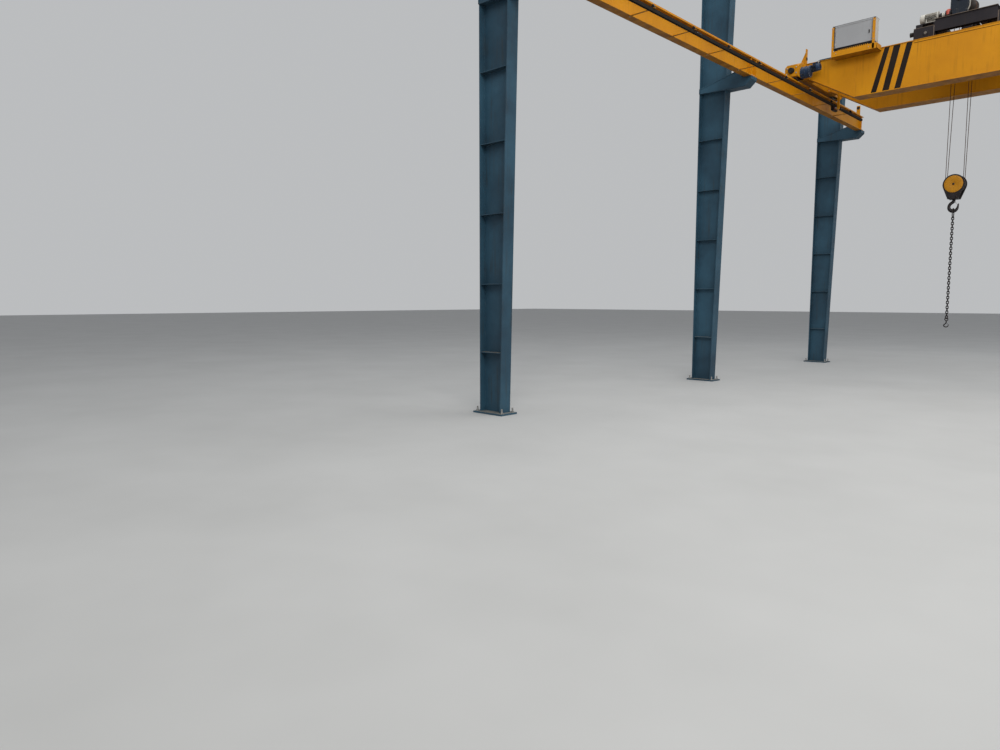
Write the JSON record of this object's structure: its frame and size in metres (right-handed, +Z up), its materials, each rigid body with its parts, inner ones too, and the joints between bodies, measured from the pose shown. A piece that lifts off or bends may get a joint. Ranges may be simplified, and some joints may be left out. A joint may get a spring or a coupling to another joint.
{
  "type": "double girder overhead crane",
  "caption": "Double girder overhead travelling crane on a column-borne runway, with a rope hoist crab, hook block and chain sling.",
  "frame": {"origin": "centre of the runway's plan at floor level, under the columns' base plates", "axes": "+X along the bridge from the conductor rail's side, +Y along the runway away from the viewer, +Z up"},
  "size_m": [14.12, 12.32, 7.6],
  "materials": {
    "column_paint": "satin",
    "crane_paint": "satin",
    "rail_steel": "worn",
    "conductor_housing": "satin",
    "collector_steel": "satin",
    "cabinet_paint": "satin",
    "drive_paint": "satin",
    "wheel_steel": "machined",
    "crab_paint": "satin",
    "motor_alloy": "cast",
    "brake_paint": "satin",
    "drum_steel": "worn",
    "rope_steel": "greased",
    "block_paint": "satin",
    "forged_steel": "oiled"
  },
  "bodies": {
    "root": {"column_left_1": "column_paint", "column_left_2": "column_paint", "column_left_3": "column_paint", "column_right_1": "column_paint", "column_right_2": "column_paint", "column_right_3": "column_paint", "runway_beam_left_near": "crane_paint", "runway_beam_left_far": "crane_paint", "runway_beam_right_near": "crane_paint", "runway_beam_right_far": "crane_paint", "runway_rail_left": "rail_steel", "runway_rail_right": "rail_steel", "conductor_rail": "conductor_housing", "conductor_hangers": "crane_paint"},
    "bridge": {"girder_near": "crane_paint", "girder_far": "crane_paint", "end_carriage_left": "crane_paint", "end_carriage_right": "crane_paint", "crab_rail_near": "rail_steel", "crab_rail_far": "rail_steel", "control_cabinet": "cabinet_paint", "cabinet_platform": "crane_paint", "travel_drive_left": "drive_paint", "travel_drive_right": "drive_paint", "collector": "collector_steel"},
    "bridge_wheel_left_near": {"bridge_wheel_left_near": "wheel_steel"},
    "bridge_wheel_left_far": {"bridge_wheel_left_far": "wheel_steel"},
    "bridge_wheel_right_near": {"bridge_wheel_right_near": "wheel_steel"},
    "bridge_wheel_right_far": {"bridge_wheel_right_far": "wheel_steel"},
    "crab": {"crab_frame": "crab_paint", "hoist_gearbox": "drive_paint", "hoist_motor": "motor_alloy", "hoist_brake": "brake_paint", "drum_pedestal": "crab_paint", "rope_equaliser": "crab_paint", "crab_drive": "drive_paint", "drum_ropes": "rope_steel", "equaliser_ropes": "rope_steel"},
    "crab_wheelset_left": {"crab_wheelset_left": "wheel_steel"},
    "crab_wheelset_right": {"crab_wheelset_right": "wheel_steel"},
    "drum": {"rope_drum": "drum_steel"},
    "hook_block": {"hook_block_frame": "block_paint", "block_sheaves": "drum_steel"},
    "hook": {"hook": "forged_steel", "chain_sling": "forged_steel"}
  },
  "joints": [
    {"name": "long_travel", "type": "slide", "parent": "root", "child": "bridge", "axis": [0, 1, 0], "range_m": [-7.6, 1.4]},
    {"name": "cross_travel", "type": "slide", "parent": "bridge", "child": "crab", "axis": [1, 0, 0], "range_m": [-1.935, 8.115]},
    {"name": "hoist", "type": "slide", "parent": "crab", "child": "hook_block", "axis": [0, 0, 1], "range_m": [-0.95, 1.6], "deforming": ["drum_ropes", "equaliser_ropes"]},
    {"name": "hook_swivel", "type": "hinge", "parent": "hook_block", "child": "hook", "pos_m": [-3.25, 3.1, 3.6], "axis": [0, 0, 1], "continuous": true},
    {"name": "drum_turn", "type": "hinge", "parent": "crab", "child": "drum", "pos_m": [-3.25, 3.1, 7.165], "axis": [0, 1, 0], "continuous": true},
    {"name": "wheel_turn_left_near", "type": "hinge", "parent": "bridge", "child": "bridge_wheel_left_near", "pos_m": [-6, 2.1, 6.225], "axis": [1, 0, 0], "continuous": true},
    {"name": "wheel_turn_left_far", "type": "hinge", "parent": "bridge", "child": "bridge_wheel_left_far", "pos_m": [-6, 4.1, 6.225], "axis": [1, 0, 0], "continuous": true},
    {"name": "wheel_turn_right_near", "type": "hinge", "parent": "bridge", "child": "bridge_wheel_right_near", "pos_m": [6, 2.1, 6.225], "axis": [1, 0, 0], "continuous": true},
    {"name": "wheel_turn_right_far", "type": "hinge", "parent": "bridge", "child": "bridge_wheel_right_far", "pos_m": [6, 4.1, 6.225], "axis": [1, 0, 0], "continuous": true},
    {"name": "crab_wheel_turn_left", "type": "hinge", "parent": "crab", "child": "crab_wheelset_left", "pos_m": [-3.73, 3.1, 6.57], "axis": [0, 1, 0], "continuous": true},
    {"name": "crab_wheel_turn_right", "type": "hinge", "parent": "crab", "child": "crab_wheelset_right", "pos_m": [-2.45, 3.1, 6.57], "axis": [0, 1, 0], "continuous": true}
  ],
  "couplings": [
    {"joint": "drum_turn", "follows": "hoist", "rad_per_m": 15.835},
    {"joint": "wheel_turn_left_near", "follows": "long_travel", "rad_per_m": -8},
    {"joint": "wheel_turn_left_far", "follows": "long_travel", "rad_per_m": -8},
    {"joint": "wheel_turn_right_near", "follows": "long_travel", "rad_per_m": -8},
    {"joint": "wheel_turn_right_far", "follows": "long_travel", "rad_per_m": -8},
    {"joint": "crab_wheel_turn_left", "follows": "cross_travel", "rad_per_m": 12.5},
    {"joint": "crab_wheel_turn_right", "follows": "cross_travel", "rad_per_m": 12.5}
  ]
}
